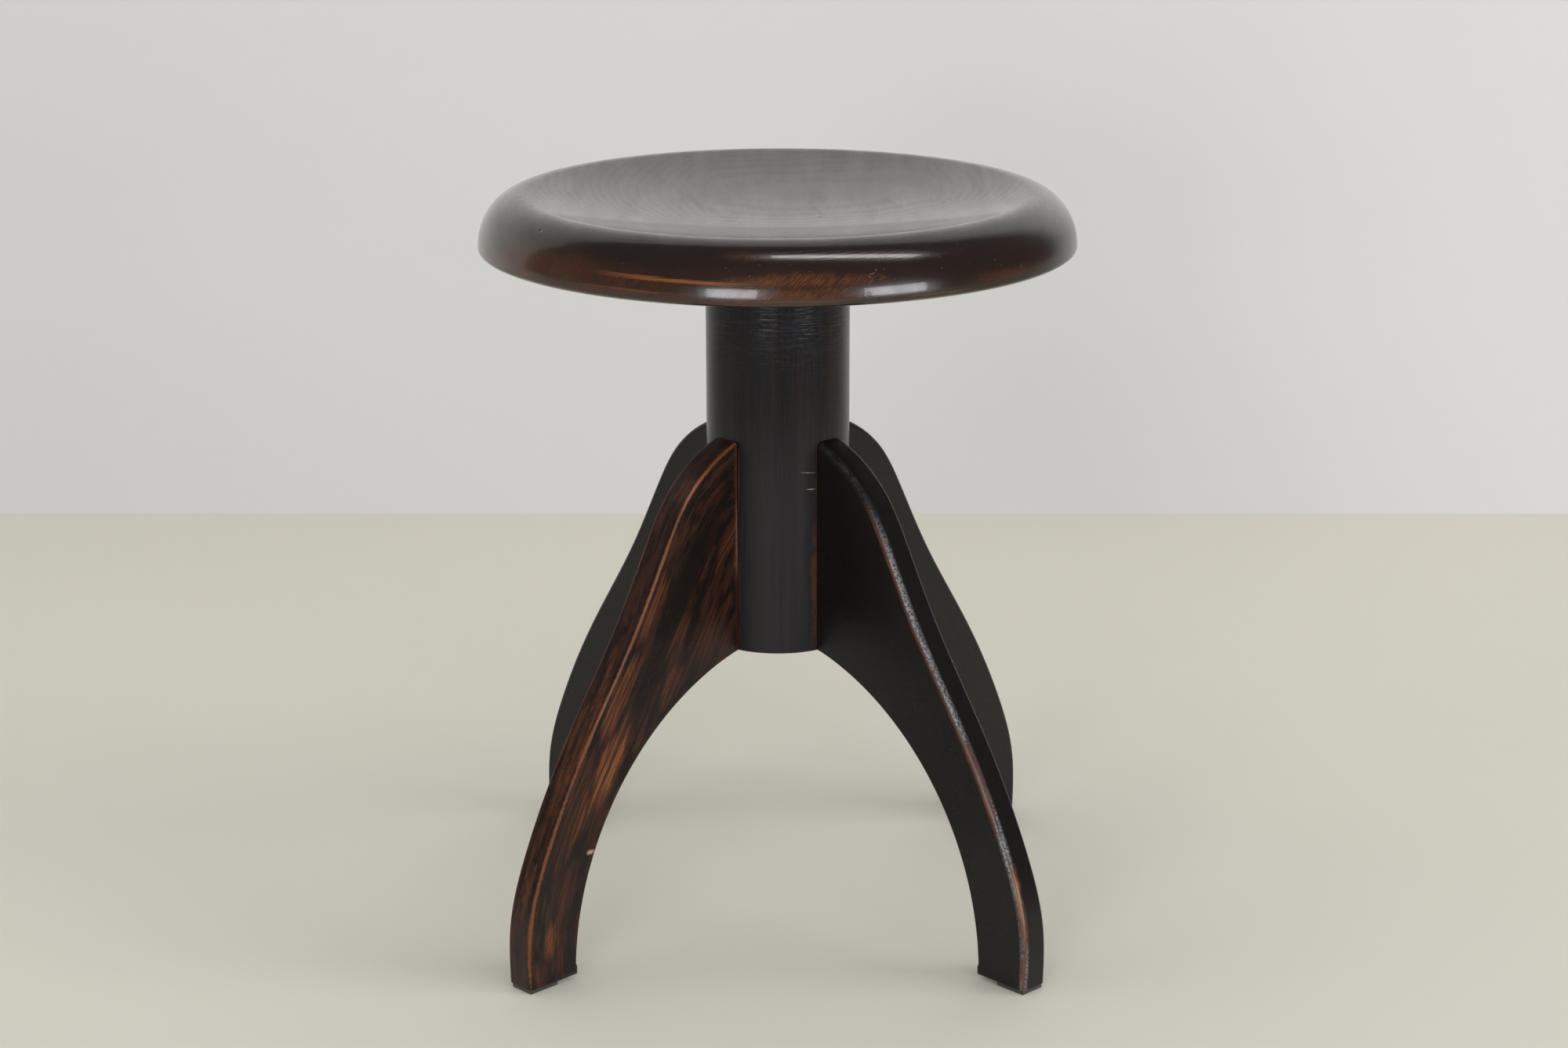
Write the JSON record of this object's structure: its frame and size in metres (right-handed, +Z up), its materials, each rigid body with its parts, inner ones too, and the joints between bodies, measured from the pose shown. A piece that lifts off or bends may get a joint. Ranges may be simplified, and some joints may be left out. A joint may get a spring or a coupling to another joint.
{
  "type": "adjustable piano stool",
  "caption": "Round dished wooden seat that turns up and down on a hidden screw in a plain turned column with flat arched plank legs.",
  "frame": {"origin": "on the floor, under the axis of the column", "axes": "+Z up along the column's axis; -Y towards the viewer of the picture; the four legs stand on the diagonals of X and Y"},
  "size_m": [0.36, 0.36, 0.4535],
  "materials": {
    "seat_wood": "near-black brown stain under gloss varnish, rubbed to orange-brown at the rim",
    "column_wood": "black stain, satin",
    "leg_wood": "black-brown stain, satin, rubbed to orange-brown at the edges",
    "dowel_wood": "bare beech",
    "spindle_steel": "oiled, turned",
    "blackened_iron": "blackened",
    "screw_steel": "plain, a little dull",
    "pad_felt": "dark pressed felt"
  },
  "bodies": {
    "base": {"column": "column_wood", "spindle_nut": "blackened_iron", "spindle_nut_screws": "screw_steel", "leg_front_left": "leg_wood", "leg_front_right": "leg_wood", "leg_rear_left": "leg_wood", "leg_rear_right": "leg_wood", "leg_dowels_front_left": "dowel_wood", "leg_dowels_front_right": "dowel_wood", "leg_dowels_rear_left": "dowel_wood", "leg_dowels_rear_right": "dowel_wood", "foot_pad_front_left": "pad_felt", "foot_pad_front_right": "pad_felt", "foot_pad_rear_left": "pad_felt", "foot_pad_rear_right": "pad_felt"},
    "stop": {"stop_washer": "screw_steel"},
    "seat": {"seat_board_left": "seat_wood", "seat_board_middle": "seat_wood", "seat_board_right": "seat_wood", "seat_plate": "blackened_iron", "seat_plate_screws": "screw_steel", "spindle": "spindle_steel", "stop_screw": "screw_steel"}
  },
  "joints": [
    {"name": "seat_lift", "type": "slide", "parent": "base", "child": "stop", "axis": [0, 0, 1], "range_m": [0, 0.112]},
    {"name": "seat_turn", "type": "hinge", "parent": "stop", "child": "seat", "pos_m": [0, 0, 0.4145], "axis": [0, 0, 1], "range_deg": [0, 5040]}
  ],
  "couplings": [
    {"joint": "seat_lift", "follows": "seat_turn", "m_per_rad": 0.0012732}
  ]
}
